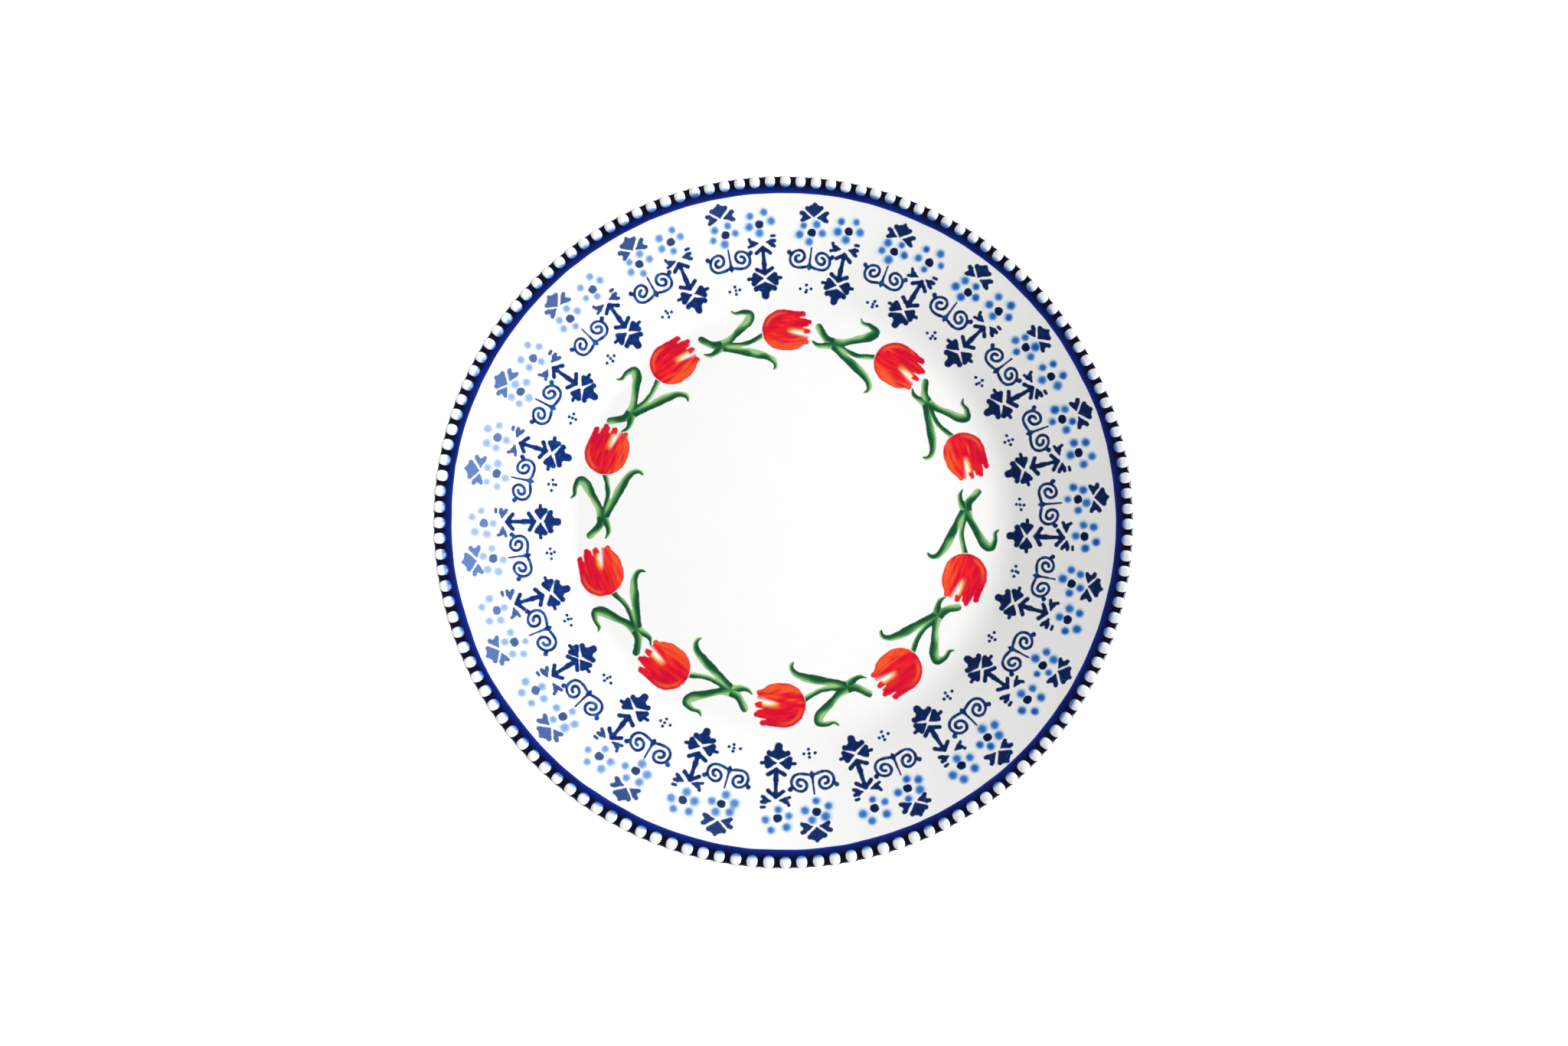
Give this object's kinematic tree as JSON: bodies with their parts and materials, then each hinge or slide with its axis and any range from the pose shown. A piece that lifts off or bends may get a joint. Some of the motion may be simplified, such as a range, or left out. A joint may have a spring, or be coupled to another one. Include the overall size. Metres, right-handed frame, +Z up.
{
  "type": "hand painted ceramic dinner plate",
  "caption": "Round glazed dinner plate on a foot ring, with a sloping flange, a pearled cobalt edge, a blue stamped border and a garland of red tulips.",
  "frame": {"origin": "centre of the foot ring, on the surface the plate stands on", "axes": "+Z up along the plate's turning axis; +X to the right and +Y to the top of the painted face as pictured"},
  "size_m": [0.27, 0.27, 0.0272],
  "materials": {
    "biscuit": "matte unglazed fired clay",
    "white_glaze": "gloss",
    "white_slip": "gloss",
    "cobalt": "gloss",
    "navy": "gloss",
    "azure": "gloss",
    "crimson": "gloss",
    "leaf_green": "gloss"
  },
  "bodies": {
    "root": {"clay_body": "biscuit", "glaze_coat": "white_glaze", "foot_well_glaze": "white_glaze", "cobalt_band": "cobalt", "rim_pearls": "white_slip", "trefoils": "navy", "dot_flower_eyes": "navy", "dot_flower_petals": "azure", "hearts": "navy", "arrows": "navy", "cross_flowers": "navy", "scrolls": "navy", "dot_diamonds": "navy", "tulip_heads": "crimson", "tulip_greenery": "leaf_green"}
  },
  "joints": []
}
